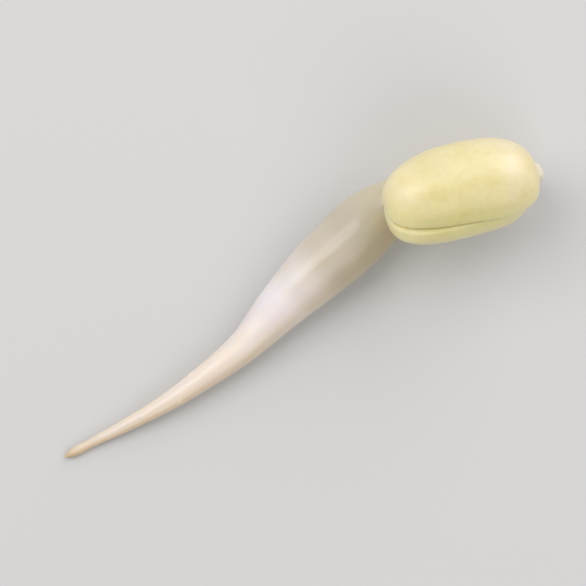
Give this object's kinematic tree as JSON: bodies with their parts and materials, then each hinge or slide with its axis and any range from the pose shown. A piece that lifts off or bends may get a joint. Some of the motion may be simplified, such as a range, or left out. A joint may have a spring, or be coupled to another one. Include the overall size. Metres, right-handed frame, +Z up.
{
  "type": "mung bean sprout",
  "caption": "Mung bean sprout lying on a surface: a white stem that tapers to a root and folds back in a hook under a pair of yellow seed leaves.",
  "frame": {"origin": "under the middle of the whole sprout, on the surface that it lies on", "axes": "+X along the sprout from root tip to head, +Z up, +Y to the left when looking from the root to the head"},
  "size_m": [0.035, 0.0068, 0.0089],
  "materials": {
    "stem": "moist white plant skin, slightly translucent, cream towards the root and the neck",
    "seed_leaf": "satin pale yellow bean flesh, olive towards the seam"
  },
  "bodies": {
    "root": {"stem_and_root": "stem", "seed_leaf_upper": "seed_leaf", "seed_leaf_lower": "seed_leaf"}
  },
  "joints": []
}
